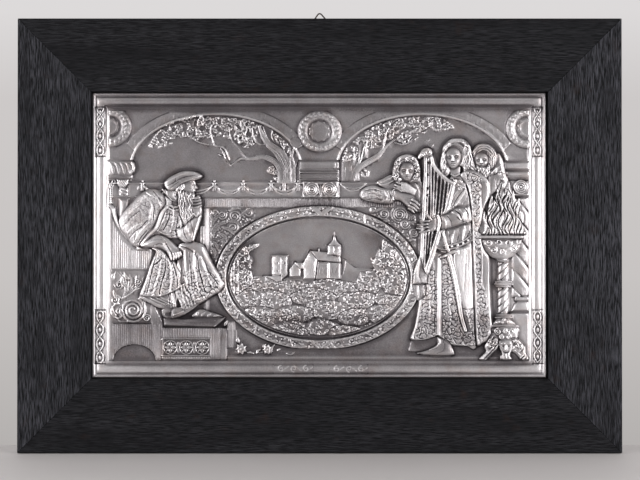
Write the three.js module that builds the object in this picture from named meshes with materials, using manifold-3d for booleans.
// A framed relief plaque to hang on a wall. A silvered, embossed plate with a court scene under two
// arches sits in a wide, flat, mitred frame of ebonised oak, backed by a thin board, and a triangular
// wire eye on a strap at the frame's back carries it.
//
// Millimetres. +X right, +Z up, the front faces -Y. The origin is the point under the top of the wire
// eye where a wall nail bears.
import * as THREE from "three";
import { mergeVertices } from "three/addons/utils/BufferGeometryUtils.js";
import Module from "manifold-3d";

// ---- Driving dimensions -------------------------------------------------------------------------

const GAP = 0.3; // clearance between pieces that touch

// Frame
const FRAME_WIDTH = 605;
const FRAME_HEIGHT = 435;
const FRAME_TOP_Z = -6.3;
const FRAME_BACK_Y = -2.1;
const FRAME_THICKNESS = 18;
const RAIL_WIDTH = 73.5;
const REBATE_DEPTH = 9;
const REBATE_WIDTH = 8;
const RAIL_EDGE_RADIUS = 1.5;
const RAIL_INNER_CHAMFER = 0.6;
const RAIL_BACK_CHAMFER = 0.5;

// Plate and board
const PLATE_WIDTH = 456;
const PLATE_HEIGHT = 286.4;
const PLATE_CORNER_RADIUS = 1.5;
const PLATE_SIDE_CLEARANCE = 0.3; // at the left and at the top; the slack is at the right and below
const GROUND_HEIGHT = 2.4; // the open sky, over the plate's back
const WALL_HEIGHT = 3.3; // the plain wall round the arches
const HIGHEST_RELIEF = 9;
const BORDER_WIDTH = 17.5;
const BOARD_THICKNESS = 5;

// Hanger
const WIRE_RADIUS = 0.7;
const EYE_HALF_WIDTH = 12.2;
const EYE_DROP = 16; // from the wire's centre at the top to its centre at the base
const EYE_CORNER_RADIUS = 2.4;
const STRAP_WIDTH = 15;
const STRAP_LENGTH = 29;
const STRAP_THICKNESS = 0.8;
const SCREW_HEAD_RADIUS = 3.1;
const SCREW_HEAD_HEIGHT = 1.5;
const SCREW_SHANK_RADIUS = 1.3;
const SCREW_SHANK_LENGTH = 12;
const SCREW_DROPS = [9, 21]; // below the eye's base wire

// ---- Places worked out from them ----------------------------------------------------------------

const frameCentreZ = FRAME_TOP_Z - FRAME_HEIGHT / 2;
const frameFrontY = FRAME_BACK_Y - FRAME_THICKNESS;
const openingWidth = FRAME_WIDTH - 2 * RAIL_WIDTH;
const openingHeight = FRAME_HEIGHT - 2 * RAIL_WIDTH;
const rebateFloorY = FRAME_BACK_Y - REBATE_DEPTH;
const plateBackY = rebateFloorY;
const plateCentreX = -openingWidth / 2 + PLATE_SIDE_CLEARANCE + PLATE_WIDTH / 2;
const plateCentreZ = frameCentreZ + openingHeight / 2 - PLATE_SIDE_CLEARANCE - PLATE_HEIGHT / 2;
const boardFrontY = rebateFloorY + GAP;
const eyeTopZ = WIRE_RADIUS;
const eyeBaseZ = eyeTopZ - EYE_DROP;
const strapBackFaceY = FRAME_BACK_Y + GAP; // the strap's face that lies on the frame

// ---- Solids -------------------------------------------------------------------------------------

const wasm = await Module();
wasm.setup();

function solidFrom(geometry) {
  const bare = geometry.clone();
  bare.deleteAttribute("normal");
  bare.deleteAttribute("uv");
  const merged = mergeVertices(bare, 1e-4);
  return new wasm.Manifold(
    new wasm.Mesh({
      numProp: 3,
      vertProperties: merged.attributes.position.array,
      triVerts: new Uint32Array(merged.index.array),
    }),
  );
}

function geometryFrom(solid) {
  const mesh = solid.getMesh();
  const geometry = new THREE.BufferGeometry();
  geometry.setAttribute("position", new THREE.BufferAttribute(mesh.vertProperties, 3));
  geometry.setIndex(new THREE.BufferAttribute(mesh.triVerts, 1));
  const flat = geometry.toNonIndexed();
  flat.computeVertexNormals();
  return flat;
}

// A skin over equal rings of points. An open skin is closed by flat caps, cut from the first ring's
// outline as flat points; a looped skin joins its last ring to its first.
function loft(rings, outline, looped = false) {
  const count = outline.length;
  const positions = rings.flat().flatMap((p) => [p.x, p.y, p.z]);
  const index = [];
  const spans = looped ? rings.length : rings.length - 1;
  for (let ring = 0; ring < spans; ring++) {
    const here = ring * count;
    const next = ((ring + 1) % rings.length) * count;
    for (let i = 0; i < count; i++) {
      const j = (i + 1) % count;
      index.push(here + i, here + j, next + j, here + i, next + j, next + i);
    }
  }
  if (!looped) {
    const last = (rings.length - 1) * count;
    const clockwise = THREE.ShapeUtils.isClockWise(outline);
    const [near, far] = clockwise ? [last, 0] : [0, last];
    for (const [a, b, c] of THREE.ShapeUtils.triangulateShape(outline, [])) {
      index.push(near + c, near + b, near + a, far + a, far + b, far + c);
    }
  }
  const geometry = new THREE.BufferGeometry();
  geometry.setAttribute("position", new THREE.Float32BufferAttribute(positions, 3));
  geometry.setIndex(index);
  const solid = solidFrom(geometry);
  return solid.volume() < 0 ? solidFrom(turnedInsideOut(geometry)) : solid;
}

function turnedInsideOut(geometry) {
  const turned = geometry.clone();
  const index = turned.index.array;
  for (let i = 0; i < index.length; i += 3) {
    [index[i + 1], index[i + 2]] = [index[i + 2], index[i + 1]];
  }
  return turned;
}

function join(solids) {
  return wasm.Manifold.union(solids);
}

function flatPoints(pairs) {
  return pairs.map(([x, y]) => new THREE.Vector2(x, y));
}

function box(left, right, low, high, bottom, top) {
  const geometry = new THREE.BoxGeometry(right - left, high - low, top - bottom);
  geometry.translate((left + right) / 2, (low + high) / 2, (bottom + top) / 2);
  return solidFrom(geometry);
}

// ---- Relief shapes: x right and y up over the plate's centre, z the height over its back ---------

const SUNK = 1; // where a carved shape starts, inside the plate's ground

// A rounded mass inside a smooth closed outline, crowned towards its middle.
function pillow(pairs, height, samples = 10, base = SUNK) {
  const curve = new THREE.SplineCurve(flatPoints([...pairs, pairs[0]]));
  const outline = Array.from({ length: samples }, (_, i) => curve.getPoint(i / samples));
  const middle = new THREE.Vector2();
  outline.forEach((p) => middle.addScaledVector(p, 1 / samples));
  const steps = [
    [1, 0],
    [1, 0.5],
    [0.7, 1],
  ];
  const rings = steps.map(([share, rise]) =>
    outline.map((p) => {
      const q = middle.clone().lerp(p, share);
      return new THREE.Vector3(q.x, q.y, base + (height - base) * rise);
    }),
  );
  return loft(rings, outline);
}

// An egg-shaped mass.
function egg(x, y, halfWidth, halfTall, height, turn = 0) {
  const geometry = new THREE.SphereGeometry(1, 8, 4);
  geometry.scale(halfWidth, halfTall, height - SUNK);
  geometry.rotateZ(turn);
  geometry.translate(x, y, SUNK);
  return solidFrom(geometry);
}

// A rounded bar along a smooth path, whose half-width runs from one value to another.
function bar(pairs, startWidth, endWidth, height, steps = 6) {
  const curve = new THREE.SplineCurve(flatPoints(pairs));
  const section = flatPoints([
    [-1, 0],
    [-0.62, 1],
    [0.62, 1],
    [1, 0],
  ]);
  const rings = [];
  for (let i = 0; i <= steps; i++) {
    const at = curve.getPoint(i / steps);
    const along = curve.getTangent(i / steps);
    const halfWidth = THREE.MathUtils.lerp(startWidth, endWidth, i / steps);
    rings.push(
      section.map(
        (s) =>
          new THREE.Vector3(
            at.x - along.y * s.x * halfWidth,
            at.y + along.x * s.x * halfWidth,
            SUNK + (height - SUNK) * s.y,
          ),
      ),
    );
  }
  return loft(rings, section);
}

// A straight-sided block inside an outline of corners, with its front edges taken off.
function block(pairs, height, edge = 0.6) {
  const shape = new THREE.Shape(flatPoints(pairs));
  const geometry = new THREE.ExtrudeGeometry(shape, {
    depth: height - SUNK - edge,
    bevelThickness: edge,
    bevelSize: edge,
    bevelOffset: -edge,
    bevelSegments: 1,
    curveSegments: 12,
  });
  geometry.translate(0, 0, SUNK);
  return solidFrom(geometry);
}

function slab(left, right, low, high, height, edge = 0.6) {
  if (edge === 0) return box(left, right, low, high, SUNK, height);
  const corners = [
    [left, low],
    [right, low],
    [right, high],
    [left, high],
  ];
  return block(corners, height, edge);
}

// A moulding round an ellipse, or round the part of one between two angles. The section holds
// pairs of distance outwards and height.
function ellipseMoulding(x, y, halfWide, halfTall, section, steps, from = 0, to = 2 * Math.PI) {
  const looped = to - from > 2 * Math.PI - 1e-6;
  const outline = flatPoints(section);
  const rings = [];
  const last = looped ? steps - 1 : steps;
  for (let i = 0; i <= last; i++) {
    const angle = from + ((to - from) * i) / steps;
    rings.push(
      outline.map(
        (s) =>
          new THREE.Vector3(
            x + (halfWide + s.x) * Math.cos(angle),
            y + (halfTall + s.x) * Math.sin(angle),
            s.y,
          ),
      ),
    );
  }
  return loft(rings, outline, looped);
}

// A turned shape lying in the plate: pairs of half-width and place along its upright axis.
function turned(x, pairs, depthShare, height) {
  const geometry = new THREE.LatheGeometry(flatPoints(pairs), 8);
  geometry.scale(1, 1, depthShare);
  geometry.translate(x, 0, height);
  return solidFrom(geometry);
}

// ---- The plate's carving, one function for each part of the scene -------------------------------

const interiorHalfWidth = PLATE_WIDTH / 2 - BORDER_WIDTH;
const interiorHalfHeight = PLATE_HEIGHT / 2 - BORDER_WIDTH;

function groundSlab() {
  const w = PLATE_WIDTH / 2;
  const h = PLATE_HEIGHT / 2;
  const r = PLATE_CORNER_RADIUS;
  const shape = new THREE.Shape();
  shape.absarc(w - r, h - r, r, 0, Math.PI / 2);
  shape.absarc(-w + r, h - r, r, Math.PI / 2, Math.PI);
  shape.absarc(-w + r, -h + r, r, Math.PI, 1.5 * Math.PI);
  shape.absarc(w - r, -h + r, r, 1.5 * Math.PI, 2 * Math.PI);
  const settings = { depth: GROUND_HEIGHT, bevelEnabled: false, curveSegments: 4 };
  return solidFrom(new THREE.ExtrudeGeometry(shape, settings));
}

// A fillet, a broad rounded band and an inner fillet, mitred round the plate's edge.
function border() {
  const section = flatPoints([
    [0, SUNK],
    [0, 4.8],
    [0.7, 5.5],
    [3.0, 5.5],
    [3.7, 4.6],
    [4.4, 4.4],
    [6.4, 5.5],
    [9.0, 5.9],
    [11.6, 5.5],
    [13.6, 4.4],
    [14.3, 4.6],
    [14.7, 5.4],
    [17.0, 5.4],
    [BORDER_WIDTH, 4.2],
    [BORDER_WIDTH, SUNK],
  ]);
  const inset = 0.02; // keeps the border inside the slab's edge
  const quarters = [
    [1, 1],
    [-1, 1],
    [-1, -1],
    [1, -1],
  ];
  const rings = quarters.map(([sx, sy]) =>
    section.map((s) => {
      const x = sx * (PLATE_WIDTH / 2 - inset - s.x);
      const y = sy * (PLATE_HEIGHT / 2 - inset - s.x);
      return new THREE.Vector3(x, y, s.y);
    }),
  );
  return loft(rings, section, true);
}

const ARCH = { centre: 103.5, springY: 67, halfWide: 84.5, halfTall: 53.2, floorY: 74.5 };

function wallWithArches() {
  const field = box(-interiorHalfWidth, interiorHalfWidth, 54, interiorHalfHeight, SUNK, WALL_HEIGHT);
  const openings = [-1, 1].map((side) => {
    const hole = new THREE.CylinderGeometry(1, 1, 10, 24);
    hole.rotateX(Math.PI / 2);
    hole.scale(ARCH.halfWide, ARCH.halfTall, 1);
    hole.translate(side * ARCH.centre, ARCH.springY, 0);
    return solidFrom(hole);
  });
  const pierces = join(openings);
  return field.subtract(pierces);
}

function archMouldings() {
  const roll = [
    [-1.6, SUNK],
    [-1.2, 5.4],
    [1.2, 5.4],
    [1.7, SUNK],
  ];
  const start = 0.14;
  const { centre, springY, halfWide, halfTall } = ARCH;
  return [-centre, centre].map((x) =>
    ellipseMoulding(x, springY, halfWide, halfTall, roll, 16, start, Math.PI - start),
  );
}

function wreath(x, y, radius) {
  const leafRing = [
    [-4.4, SUNK],
    [-1.6, 6.2],
    [1.6, 6.2],
    [4.6, SUNK],
  ];
  return ellipseMoulding(x, y, radius, radius, leafRing, 16);
}

function pier() {
  const bands = [
    [66, 74, 20.5, 5.4],
    [60.5, 63.5, 18, 5.0],
    [53, 56, 19, 5.0],
    [37.5, 52.4, 18.5, 5.0],
    [54, 74, 14.5, 4.4],
  ];
  const scrolls = [-9, 9].map((x) => {
    const coil = [[-4, SUNK], [-3, 6.6], [0.8, SUNK]];
    return ellipseMoulding(x, 45, 6, 6, coil, 8);
  });
  return [
    ...bands.map(([low, high, half, height]) => slab(-half, half, low, high, height)),
    ...scrolls,
    egg(0, 41, 2.2, 4, 6.2),
  ];
}

function flutedBand() {
  return [slab(-118, 90, 26.8, 36.8, 4.2, 0)];
}

// A parapet rail with posts and a swag hanging between each two.
function parapet() {
  const rail = slab(-184, 46, 50.6, 53, 4.4, 0);
  const posts = [-104.2, -76.2, -48, 46].map((x) => slab(x - 1, x + 1, 46, 51, 4.6, 0));
  const swag = (left, right, low) => {
    const middle = (left + right) / 2;
    const quarter = (right - left) / 4;
    const rise = (50 - low) * 0.25;
    const path = [[left, 50], [middle - quarter, low + rise], [middle, low]];
    return bar([...path, [middle + quarter, low + rise], [right, 50]], 1.3, 1.3, 4.4, 3);
  };
  const swags = [-104.2, -76.2, -48].map((x) => swag(x + 1, x + 27, 40));
  return [rail, ...posts, ...swags, swag(21, 45, 43)];
}

function leftCapital() {
  const stack = [
    [-interiorHalfWidth, -185, 60.2, 74.3, 6],
    [-interiorHalfWidth, -187, 55, 59.4, 5.2],
    [-203, -191, 48, 54.4, 5],
    [-201.5, -191.5, 36.4, 38.4, 5],
    [-interiorHalfWidth, -206, 31, 54, 4.4],
  ];
  const shaft = bar([[-196.5, 49], [-196.5, 18]], 4, 4, 5.4, 1);
  return [...stack.map(([l, r, low, high, h]) => slab(l, r, low, high, h)), shaft];
}

// The seat's side: a curved back edge, a recessed arch between its feet, and a carved scroll panel.
const CHAIR = { back: -interiorHalfWidth, front: -168, foot: -126, height: 4.6 };
const CHAIR_ARCH = { x: -186, halfWide: 20, halfTall: 15.7, floor: 3.2 };

function chair() {
  const { back, front, foot, height } = CHAIR;
  const seatEdge = [[back, 24], [-206, 18], [-197, 2], [-190, -10], [-181, -15], [front, -14]];
  const side = block([...seatEdge, [front, foot], [back, foot]], height);
  const backEdge = bar([[-210, 30], [-203, 13], [-192, -5], [-184, -13.4], [-170, -13.6]], 1.3, 1.3, 5.8, 6);
  const depth = 10;
  const arch = new THREE.CylinderGeometry(1, 1, depth, 12);
  arch.rotateX(Math.PI / 2);
  arch.scale(CHAIR_ARCH.halfWide, CHAIR_ARCH.halfTall, 1);
  arch.translate(CHAIR_ARCH.x, foot, CHAIR_ARCH.floor + depth / 2);
  const scroll = ellipseMoulding(-184.5, -71.5, 8, 8, [[-2.6, SUNK], [0, 6.4], [2.6, SUNK]], 12);
  const leaf = pillow([[-193, -40], [-182, -38], [-178, -48], [-184, -58], [-192, -54]], 6, 10);
  const ledges = [-35.4, -88.6].map((y) => slab(back, front, y - 1, y + 1, 5.4, 0));
  return [side.subtract(solidFrom(arch)), backEdge, scroll, leaf, ...ledges];
}

function podium() {
  const roundels = [-149.5, -133.2, -117].map((x) => egg(x, -112.5, 7, 7, 6.6));
  return [
    slab(-158.5, -94, -126, -93, 5.2),
    slab(-158.5, -107, -120.4, -104.6, 5.7, 0),
    ...roundels,
    slab(-90.5, -83, -113, -86.5, 4.8),
    slab(-93, -80.5, -121, -113, 5.2),
    slab(-159, -91, -92, -82, 7, 1),
  ];
}

function floorSteps() {
  return [
    slab(-94, interiorHalfWidth, -127, -113, 3.4, 0),
    slab(-94, interiorHalfWidth, -127, -122.6, 4.2, 0),
    egg(-77, -114.3, 5, 5, 5.4),
    egg(-50.5, -116, 5.4, 5.2, 5.4),
  ];
}

const OVAL = { x: -0.6, y: -43.2, halfWide: 97.7, halfTall: 66.9 };

function medallion() {
  const garland = [
    [-5.8, SUNK],
    [-5.8, 4.6],
    [-0.6, 6.9],
    [2.6, 6.9],
    [5.6, SUNK],
  ];
  const ribbons = [86, 94, 266, 274].map((degrees) => {
    const angle = THREE.MathUtils.degToRad(degrees);
    const across = (reach) => [
      OVAL.x + (OVAL.halfWide + reach) * Math.cos(angle),
      OVAL.y + (OVAL.halfTall + reach) * Math.sin(angle),
    ];
    return bar([across(-5), across(5.4)], 1.8, 1.8, 7.6, 1);
  });
  const ring = ellipseMoulding(OVAL.x, OVAL.y, OVAL.halfWide, OVAL.halfTall, garland, 28);
  return [ring, ...ribbons];
}

// Acanthus volutes in the corners between the medallion and the reeded band.
function spandrelScrolls() {
  const places = [[-81.2, 18.4, 5.5], [-105.5, 9, 5], [63.5, 21.4, 4.6], [80.8, 19.6, 4.6], [84.5, 9.5, 4]];
  return places.map(([x, y, radius]) => egg(x, y, radius, radius, 4.8));
}

function castleLandscape() {
  const hills = [
    pillow([[-88, -50], [-60, -42], [-30, -46], [0, -43], [35, -44], [70, -40], [88, -50],
      [70, -78], [35, -97], [0, -103], [-40, -96], [-74, -76]], 4.6, 16),
    pillow([[26, -66], [44, -62], [58, -72], [48, -88], [26, -84]], 5.4, 8),
    pillow([[-80, -60], [-58, -50], [-40, -60], [-50, -80], [-70, -76]], 5.2, 8),
  ];
  const trees = [
    pillow([[-90, -44], [-91, -26], [-84, -9], [-76, -7], [-67, -14], [-61, -30], [-63, -48],
      [-78, -52]], 5.2, 10),
    pillow([[51, -40], [53, -24], [58, -8], [64, -4], [74, -12], [84, -22], [89, -38], [80, -50],
      [62, -50]], 5.2, 10),
  ];
  const buildings = [
    block([[-46.4, -41], [-31.6, -41], [-31.6, -20.3], [-46.4, -20.3]], 5),
    block([[-29, -45], [-18, -45], [-18, -35], [-24, -28], [-29, -35]], 4.8, 0.4),
    block([[-16, -45], [-3, -45], [-3, -26], [-9, -16.5], [-16, -28]], 5.4, 0.5),
    block([[-9, -44], [22, -44], [22, -18.5], [-9, -17]], 4.6, 0.5),
    block([[8.6, -22], [21.8, -22], [21.8, -11], [8.6, -11]], 5, 0.5),
    block([[9.4, -11.2], [21, -11.2], [15.3, 1.6]], 4.4, 0.4),
    block([[22, -45], [56, -47], [56, -35], [42.5, -33.5], [35.5, -31.4], [29, -25], [22, -20.5]], 4.2, 0.4),
  ];
  return [...hills, ...trees, ...buildings];
}

function foliage() {
  const leftTree = [
    bar([[-21, 50], [-23, 64], [-27, 84]], 6.5, 4, 4.6, 4),
    bar([[-26, 66], [-44.5, 74.3], [-67.4, 76], [-86.6, 70.5]], 2.4, 1.2, 4, 4),
    egg(-34, 92, 8, 9, 4.6),
    egg(-46, 62, 6, 8, 4.4),
  ];
  // Leaves massed under an arch, in a band with lumps along it.
  const crown = (centre, from, to, count) => {
    const place = (share) => {
      const angle = from + (to - from) * share;
      const x = centre + (ARCH.halfWide - 11) * Math.cos(angle);
      return [x, ARCH.springY + (ARCH.halfTall - 10) * Math.sin(angle)];
    };
    const band = bar([place(0), place(0.25), place(0.5), place(0.75), place(1)], 8, 8, 4.2, 5);
    const lumps = Array.from({ length: count }, (_, i) => {
      const [x, y] = place((i + 0.5) / count);
      return egg(x, y, 9, 7, 5, -0.5 + i / count);
    });
    return [band, ...lumps];
  };
  const rightTree = [
    bar([[23, 50], [27, 62], [28, 84]], 5.5, 3.5, 4.6, 4),
    bar([[30, 60], [48.7, 73.5], [71.6, 90.4], [96, 107]], 2.4, 1.2, 4, 4),
    egg(91, 98, 17, 8, 4.6, 0.15),
    egg(46, 60, 5, 6, 4.4),
  ];
  return [
    ...leftTree,
    ...rightTree,
    ...crown(-ARCH.centre, 1.1, 2.6, 3),
    ...crown(ARCH.centre, 1.2, 2.5, 2),
  ];
}

function seatedMan() {
  const head = [
    egg(-134, 46, 11, 13, 8),
    egg(-123.5, 44.6, 2.6, 1.8, 7.4),
    pillow([[-142, 41], [-129, 42], [-124.5, 38], [-125, 28], [-132, 12], [-139, 16], [-142, 28]], 8, 14),
  ];
  const beret = pillow(
    [[-155.3, 50], [-147, 60], [-135.4, 64.4], [-122, 63.4], [-116.8, 60], [-121, 56],
      [-131, 53], [-139.5, 50], [-146, 44.6], [-154, 45.4]],
    8.6,
    14,
  );
  const cloak = pillow(
    [[-156, 44], [-166, 44.4], [-182, 35], [-200.4, 15.3], [-198, 4], [-179, -10.7],
      [-160, -12], [-140, -10], [-138, 10], [-141, 36]],
    7,
    16,
  );
  const cloakEdge = bar([[-153, 40], [-154.5, 32], [-166, 10], [-178, -8]], 3, 3, 8, 4);
  const arms = [
    bar([[-136, -8], [-128, 6], [-121, 19]], 6.5, 4, 8.6, 2),
    egg(-121.5, 31, 4.6, 7.5, 8.6, 0),
    bar([[-182, -14], [-165, -8], [-150, -13], [-141, -22]], 7, 4.5, 8.6, 5),
  ];
  const robe = [
    pillow(
      [[-150, -12], [-139, -8], [-120, -9], [-112, -20], [-98, -43], [-95.3, -50], [-108.6, -62],
        [-124, -71.5], [-147, -83], [-153, -66], [-148, -40]],
      7.4,
      18,
    ),
    pillow([[-167.5, -14], [-165, -30], [-179, -60], [-160, -62.5], [-135.4, -51], [-141, -41], [-149, -22]],
      7.8, 14),
    slab(-177, -146, -76, -60, 5.4, 1),
    egg(-110, -78, 13, 5.6, 7.8, -0.12),
  ];
  const folds = [-131, -119].map((x, i) =>
    bar([[x + 2, -14], [x, -40], [x + 5 - 4 * i, -66 + 3 * i]], 2, 1.6, 8.2, 3),
  );
  return [...head, beret, cloak, cloakEdge, ...arms, ...robe, ...folds];
}

function youngSinger() {
  return [
    egg(88.5, 65.5, 10.5, 13.5, 7.4, -0.15),
    egg(87, 74, 12, 9, 7.8),
    pillow([[60, 54], [74, 58], [100, 50], [102, 32], [86, 29], [66, 30]], 5.6, 10),
    pillow([[41.8, 40], [47, 47], [61, 46], [84, 43], [86, 36], [73, 31.4], [51.7, 32]], 6.8, 12),
    egg(81.5, 47.5, 3.8, 5.6, 8),
    bar([[90, 47], [96, 40]], 5, 4.6, 7.4, 2),
    bar([[92, 36], [99, 24]], 3.4, 2.4, 6.6, 2),
  ];
}

function harp() {
  const soundboxTop = [134, 50];
  const strings = Array.from({ length: 4 }, (_, i) => {
    const x = 111 + 4.9 * i;
    return bar([[x, 72 - 5 * i], [x - 2.6, -14 + 14 * i]], 0.9, 0.9, 4.4, 1);
  });
  return [
    bar([[107.4, 80], [105.8, 28], [103, -2], [102.6, -37]], 2, 2.6, 6.4, 4),
    egg(106.4, 81.6, 6.8, 5.4, 7),
    bar([[111, 80], [114.7, 70], [121, 61], soundboxTop], 2.4, 2.4, 6.6, 4),
    bar([soundboxTop, [126, 19.3], [119, 1], [107, -37]], 2.4, 3, 6, 4),
    ...strings,
    block([[94, -38], [102, -20], [107, -36], [108.4, -49], [95, -49]], 6.6, 0.8),
    slab(96, 106.5, -66, -50, 6, 0.8),
  ];
}

function mainSinger() {
  const head = [
    egg(136, 80, 9.6, 14, 8.4),
    egg(140, 83, 13, 13.5, 7.6),
    bar([[136, 68], [136, 56]], 4.4, 5.4, 6.6, 2),
  ];
  const body = [
    pillow([[121, 50], [136, 58], [152, 54], [155, 20], [155, -4], [118.6, -12], [122, 10],
      [124, 30]], 6.6, 12),
    pillow([[117, -14], [153, -4], [158, -60], [156, -76], [120, -74], [110, -50]], 6.4, 10),
    bar([[117.8, -13.6], [135, -9], [154, -3]], 2.6, 3, 7.6, 4),
    bar([[146, 17.5], [131, 13.5], [116, 8.5]], 6.8, 6, 8.8, 4),
    egg(107.6, 7.4, 8.6, 5.8, 8.4, 0.06),
  ];
  const gown = [
    pillow([[104, -58], [119, -56], [119.5, -100], [104, -106.5], [91, -106], [95, -86]], 6, 12),
    pillow([[120, -72], [157, -72], [158, -111], [145, -112.5], [134, -111], [120, -102]], 6.6, 12),
    bar([[160, 48], [158, 20], [160, -20], [165, -106]], 8, 7.4, 7.6, 5),
  ];
  const sword = [
    bar([[125.6, 3.3], [131.4, -16]], 1.7, 1.7, 9, 2),
    bar([[121.8, -22], [139.4, -17.6]], 1.6, 1.6, 9, 2),
    bar([[131, -20], [135.8, -36], [139.5, -60], [147.3, -96]], 3.4, 1.8, 8.4, 4),
  ];
  const shoes = [egg(119, -114.5, 14, 5.6, 6.2, -0.1)];
  return [...head, ...body, ...gown, ...sword, ...shoes];
}

function thirdSinger() {
  return [
    egg(165, 73, 10.4, 13, 6.6),
    egg(167, 85.5, 12.6, 6, 7.2),
    egg(171.6, 72, 8.4, 12, 6.4),
    pillow([[158, 58], [178, 58], [181, 44], [178, 34], [160, 36]], 5, 10),
  ];
}

// A standing fire bowl on a turned, footed stem, with its flames.
function brazier() {
  const x = 183;
  const bowl = [[0, -25.6], [8, -24], [17, -15], [20.8, -4], [20.8, -1], [0, -1]];
  const stem = [
    [0, -93], [12.5, -93], [11.5, -89], [6, -84], [7.5, -82], [4.6, -79.6],
    [4.6, -54.5], [8.4, -50], [4.6, -46], [4.6, -28], [6.8, -26.4], [0, -25.2],
  ];
  const tongues = [[170, 26, 7], [180, 48, 8], [191, 40, 8], [200, 22, 4.4]];
  const flames = tongues.map(([at, top, half]) =>
    pillow([[at - half, -2], [at - half * 1.1, top * 0.4], [at - half * 0.2, top * 0.75], [at + 0.5, top],
      [at + half, top * 0.5], [at + half, -2]], 6.6, 8),
  );
  const feet = [[167.5, -116, 8, 11], [186.5, -117, 5.6, 9.6], [201, -116, 8, 11]];
  return [
    turned(x, bowl, 0.26, 3.2),
    turned(x, stem, 0.5, 3.2),
    ...flames,
    slab(172, 198, -107, -94, 6.4, 0.8),
    ...feet.map(([at, y, wide, tall]) => egg(at, y, wide, tall, 6.8)),
  ];
}

function rightColumn() {
  const edge = interiorHalfWidth;
  const capital = [
    slab(186, edge, 64, 71.4, 5.6),
    slab(187, edge, 55, 61.5, 5.2),
    slab(192, edge, 37, 54, 4.6),
  ];
  const rosette = egg(201.7, 46.4, 5.6, 5.6, 6);
  const shaft = bar([[203, 38], [203, -66]], 6.4, 6.4, 4.8, 1);
  const fillets = Array.from({ length: 5 }, (_, i) => {
    const y = 26 - 18.5 * i;
    return bar([[197, y + 6], [209, y - 6]], 1.2, 1.2, 5.6, 1);
  });
  const base = [
    slab(195, edge, -67, -63.5, 5.2),
    slab(192.5, edge, -78, -68, 5.8, 1.2),
    slab(193, edge, -127, -78.6, 4.4),
  ];
  return [...capital, rosette, shaft, ...fillets, ...base];
}

function reliefPlate() {
  const carving = join([
    wallWithArches(),
    ...archMouldings(),
    wreath(0.5, 103, 17.2),
    wreath(-208.5, 108.7, 15.2),
    wreath(207.5, 106, 15.6),
    ...pier(),
    ...flutedBand(),
    ...parapet(),
    ...leftCapital(),
    ...chair(),
    ...podium(),
    ...floorSteps(),
    ...medallion(),
    ...spandrelScrolls(),
    ...castleLandscape(),
    ...foliage(),
    ...seatedMan(),
    ...youngSinger(),
    ...harp(),
    ...thirdSinger(),
    ...mainSinger(),
    ...brazier(),
    ...rightColumn(),
  ]);
  const w = interiorHalfWidth + 0.2;
  const h = interiorHalfHeight + 0.2;
  const inside = carving.intersect(box(-w, w, -h, h, SUNK, HIGHEST_RELIEF));
  return join([groundSlab(), border(), inside]);
}

// ---- Frame, board and hanger --------------------------------------------------------------------

// One mitred rail, lying along x with its outer edge up: its section runs from the outer edge inwards.
function railSolid(length) {
  const inner = RAIL_WIDTH;
  const r = RAIL_EDGE_RADIUS;
  const front = frameFrontY;
  const section = flatPoints([
    [0, FRAME_BACK_Y - RAIL_BACK_CHAMFER],
    [RAIL_BACK_CHAMFER, FRAME_BACK_Y],
    [inner - REBATE_WIDTH, FRAME_BACK_Y],
    [inner - REBATE_WIDTH, rebateFloorY],
    [inner, rebateFloorY],
    [inner, front + RAIL_INNER_CHAMFER],
    [inner - RAIL_INNER_CHAMFER, front],
    [r, front],
    [r * 0.5, front + r * 0.13],
    [r * 0.13, front + r * 0.5],
    [0, front + r],
  ]);
  const mitreSlack = GAP * Math.SQRT1_2;
  const rings = [-1, 1].map((side) =>
    section.map((s) => new THREE.Vector3(side * (length / 2 - s.x - mitreSlack), s.y, -s.x)),
  );
  return loft(rings, section);
}

function screwHole(radius, length) {
  const drill = new THREE.CylinderGeometry(radius, radius, length, 8);
  return solidFrom(drill);
}

// The top rail, drilled for the hanger's screws.
function topRailSolid() {
  const depth = SCREW_SHANK_LENGTH + 0.6;
  const holes = SCREW_DROPS.map((drop) => {
    const z = eyeBaseZ - drop - FRAME_TOP_Z;
    return screwHole(SCREW_SHANK_RADIUS + GAP, depth).translate([0, FRAME_BACK_Y - depth / 2 + 0.1, z]);
  });
  return railSolid(FRAME_WIDTH).subtract(join(holes));
}

// A closed ring of wire: three straight runs joined by round bends, the top one over the origin.
function wireEye() {
  const r = EYE_CORNER_RADIUS;
  const half = EYE_HALF_WIDTH;
  const topCentre = { x: 0, z: eyeTopZ - r };
  const baseCentre = { x: half - r, z: eyeBaseZ + r };
  // Each straight side leaves the top bend and meets a base bend along one common tangent, so its
  // slope follows from the two bends' centres.
  const slope = Math.atan2(topCentre.z - baseCentre.z, baseCentre.x);
  const outward = Math.PI / 2 - slope;
  const arcs = [
    [topCentre, Math.PI - outward, outward],
    [baseCentre, outward, -Math.PI / 2],
    [{ x: -baseCentre.x, z: baseCentre.z }, -Math.PI / 2, outward - Math.PI],
  ];
  const points = [];
  for (const [centre, from, to] of arcs) {
    const steps = 4;
    for (let i = 0; i <= steps; i++) {
      let end = to;
      if (end > from) end -= 2 * Math.PI;
      const angle = from + ((end - from) * i) / steps;
      points.push(new THREE.Vector2(centre.x + r * Math.cos(angle), centre.z + r * Math.sin(angle)));
    }
  }
  const sides = 8;
  const section = Array.from({ length: sides }, (_, i) => {
    const angle = (i / sides) * 2 * Math.PI;
    return new THREE.Vector2(WIRE_RADIUS * Math.cos(angle), WIRE_RADIUS * Math.sin(angle));
  });
  const count = points.length;
  const rings = points.map((p, i) => {
    const before = points[(i + count - 1) % count];
    const after = points[(i + 1) % count];
    const along = after.clone().sub(before).normalize();
    return section.map((s) => new THREE.Vector3(p.x - along.y * s.x, s.y, p.y + along.x * s.x));
  });
  return loft(rings, section, true);
}

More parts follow.
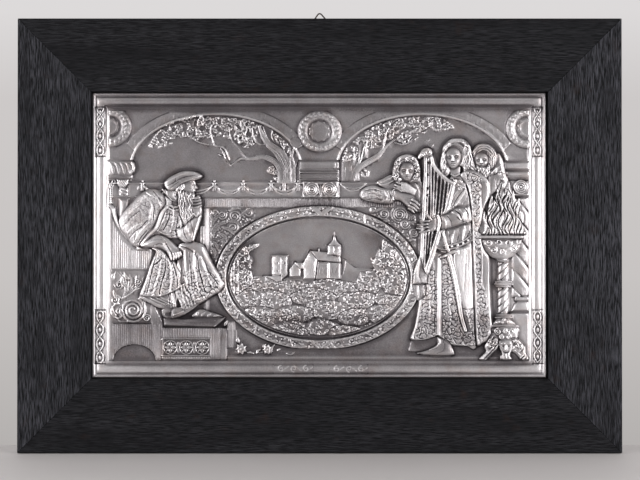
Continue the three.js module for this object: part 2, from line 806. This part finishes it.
// A strip of sheet that lies on the rail's back and curls over the eye's base wire.
function strapSolid() {
  const t = STRAP_THICKNESS;
  const outer = -strapBackFaceY;
  const inner = outer - t;
  const shape = new THREE.Shape();
  shape.moveTo(strapBackFaceY, eyeBaseZ - STRAP_LENGTH);
  shape.lineTo(strapBackFaceY, eyeBaseZ);
  shape.absarc(0, eyeBaseZ, outer, Math.PI, -Math.PI * 0.32, true);
  shape.absarc(0, eyeBaseZ, inner, -Math.PI * 0.32, Math.PI, false);
  shape.lineTo(strapBackFaceY + t, eyeBaseZ - STRAP_LENGTH);
  shape.closePath();
  const settings = { depth: STRAP_WIDTH, bevelEnabled: false, curveSegments: 7 };
  const strip = new THREE.ExtrudeGeometry(shape, settings);
  // The outline is drawn in y and z; the strip's width runs along x.
  strip.applyMatrix4(new THREE.Matrix4().set(0, 0, 1, -STRAP_WIDTH / 2, 1, 0, 0, 0, 0, 1, 0, 0, 0, 0, 0, 1));
  const holes = SCREW_DROPS.map((drop) =>
    screwHole(SCREW_SHANK_RADIUS + GAP, 4 * t).translate([0, strapBackFaceY + t / 2, eyeBaseZ - drop]),
  );
  return solidFrom(strip).subtract(join(holes));
}

// A slotted round-head screw, its head's underside at zero and its shank along -y.
function screwSolid() {
  const r = SCREW_SHANK_RADIUS;
  const head = SCREW_HEAD_RADIUS;
  const tall = SCREW_HEAD_HEIGHT;
  const profile = flatPoints([
    [0, -SCREW_SHANK_LENGTH],
    [r, -SCREW_SHANK_LENGTH + 3],
    [r, 0],
    [head, 0],
    [head * 0.95, tall * 0.4],
    [head * 0.7, tall * 0.8],
    [0, tall],
  ]);
  const body = solidFrom(new THREE.LatheGeometry(profile, 10));
  const slot = new THREE.BoxGeometry(2 * head + 1, tall, 0.8);
  slot.rotateY(0.5);
  slot.translate(0, tall * 1.05, 0);
  return body.subtract(solidFrom(slot));
}

// ---- The object ---------------------------------------------------------------------------------

const materials = {
  ebonisedOak: { color: 0x2b2a2d, roughness: 0.62, metalness: 0 },
  silveredMetal: { color: 0x8b8789, roughness: 0.36, metalness: 0.9 },
  plainWood: { color: 0x6d5138, roughness: 0.8, metalness: 0 },
  brownedSteel: { color: 0x5c4f45, roughness: 0.5, metalness: 0.8 },
};

const plaque = new THREE.Group();
plaque.name = "relief_plaque";

function place(name, solid, finish, position = [0, 0, 0], rotation = [0, 0, 0], group = plaque) {
  const mesh = new THREE.Mesh(geometryFrom(solid), new THREE.MeshStandardMaterial(finish));
  mesh.name = name;
  mesh.position.set(...position);
  mesh.rotation.set(...rotation);
  group.add(mesh);
  return mesh;
}

const frame = new THREE.Group();
frame.position.z = frameCentreZ;
plaque.add(frame);
const halfW = FRAME_WIDTH / 2;
const halfH = FRAME_HEIGHT / 2;
place("rail_top", topRailSolid(), materials.ebonisedOak, [0, 0, halfH], [0, 0, 0], frame);
const quarterTurn = Math.PI / 2;
const oak = materials.ebonisedOak;
place("rail_right", railSolid(FRAME_HEIGHT), oak, [halfW, 0, 0], [0, quarterTurn, 0], frame);
place("rail_bottom", railSolid(FRAME_WIDTH), oak, [0, 0, -halfH], [0, Math.PI, 0], frame);
place("rail_left", railSolid(FRAME_HEIGHT), oak, [-halfW, 0, 0], [0, -quarterTurn, 0], frame);

place(
  "relief_plate",
  reliefPlate(),
  materials.silveredMetal,
  [plateCentreX, plateBackY, plateCentreZ],
  [Math.PI / 2, 0, 0],
);

const boardHalfW = openingWidth / 2 + REBATE_WIDTH - GAP;
const boardHalfH = openingHeight / 2 + REBATE_WIDTH - GAP;
place(
  "backing_board",
  box(-boardHalfW, boardHalfW, 0, BOARD_THICKNESS, -boardHalfH, boardHalfH),
  materials.plainWood,
  [0, boardFrontY, frameCentreZ],
);

place("hanger_eye", wireEye(), materials.brownedSteel);
place("hanger_strap", strapSolid(), materials.brownedSteel);
const screwSeatY = strapBackFaceY + STRAP_THICKNESS + 0.05;
["hanger_screw_upper", "hanger_screw_lower"].forEach((name, i) => {
  place(name, screwSolid(), materials.brownedSteel, [0, screwSeatY, eyeBaseZ - SCREW_DROPS[i]]);
});

export default plaque;
